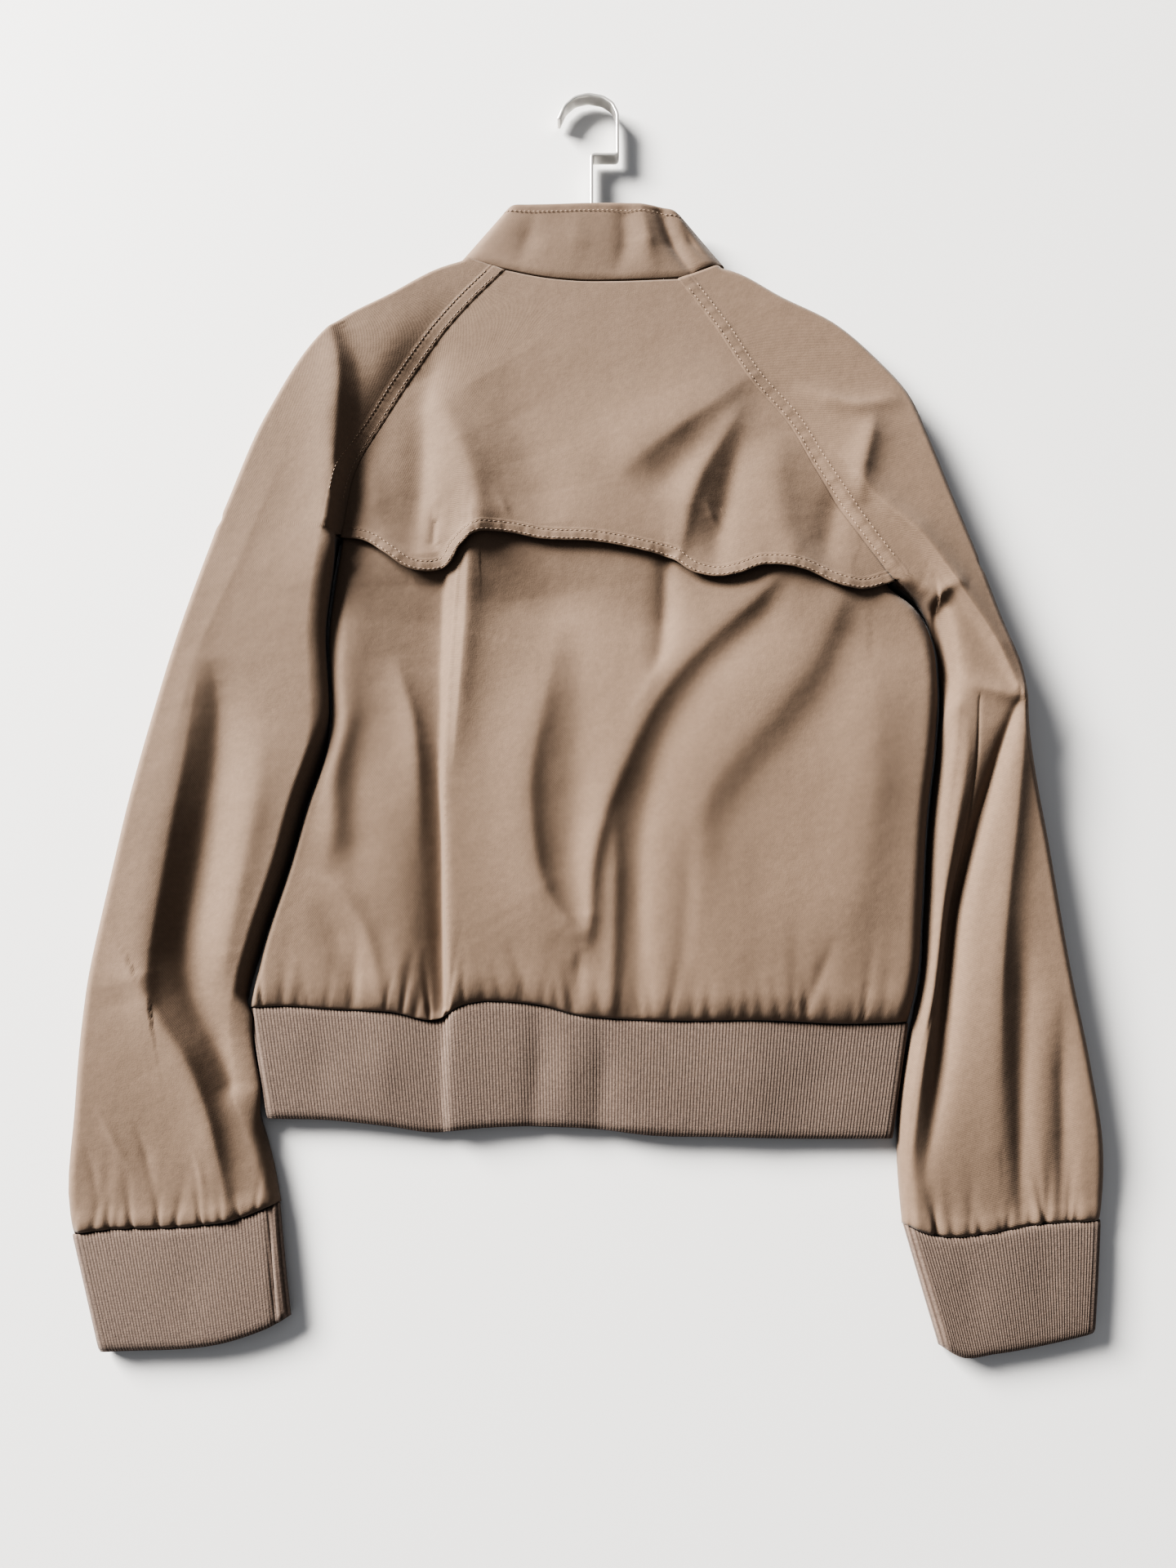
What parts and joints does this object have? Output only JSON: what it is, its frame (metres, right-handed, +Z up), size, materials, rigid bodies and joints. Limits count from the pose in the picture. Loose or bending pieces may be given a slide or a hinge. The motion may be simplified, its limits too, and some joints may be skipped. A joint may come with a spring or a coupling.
{
  "type": "bomber jacket on a hanger",
  "caption": "Raglan-sleeved bomber jacket with a storm-flap yoke, stand collar and rib-knit hem and cuffs, laid face down on a flat steel hanger.",
  "frame": {"origin": "middle of the laid garment and its hanger in plan, on the surface they lie on", "axes": "+Z up from the surface through the back, +Y from the hem towards the collar and hook, +X towards the wearer's right sleeve"},
  "size_m": [0.6993, 0.9674, 0.0328],
  "materials": {
    "cloth": "fine cotton weave, faint sheen",
    "rib": "rib knit, matte",
    "tape": "woven tape, matte",
    "brass": "aged, satin",
    "steel": "satin nickel"
  },
  "bodies": {
    "jacket": {"back": "cloth", "back_yoke": "cloth", "front_left": "cloth", "front_right": "cloth", "sleeve_left_back": "cloth", "sleeve_left_front": "cloth", "sleeve_right_back": "cloth", "sleeve_right_front": "cloth", "collar": "cloth", "hem_rib": "rib", "cuff_left": "rib", "cuff_right": "rib", "zip_tape_left": "tape", "zip_tape_right": "tape", "zip_teeth": "brass", "zip_slider": "brass", "hanger_arms": "steel", "hanger_hook": "steel"},
    "zip_pull": {"zip_pull": "brass"}
  },
  "joints": [
    {"name": "pull_hinge", "type": "hinge", "parent": "jacket", "child": "zip_pull", "pos_m": [0.001, 0.26292, 0.00095], "axis": [1, 0, 0], "range_deg": [0, 180]}
  ]
}
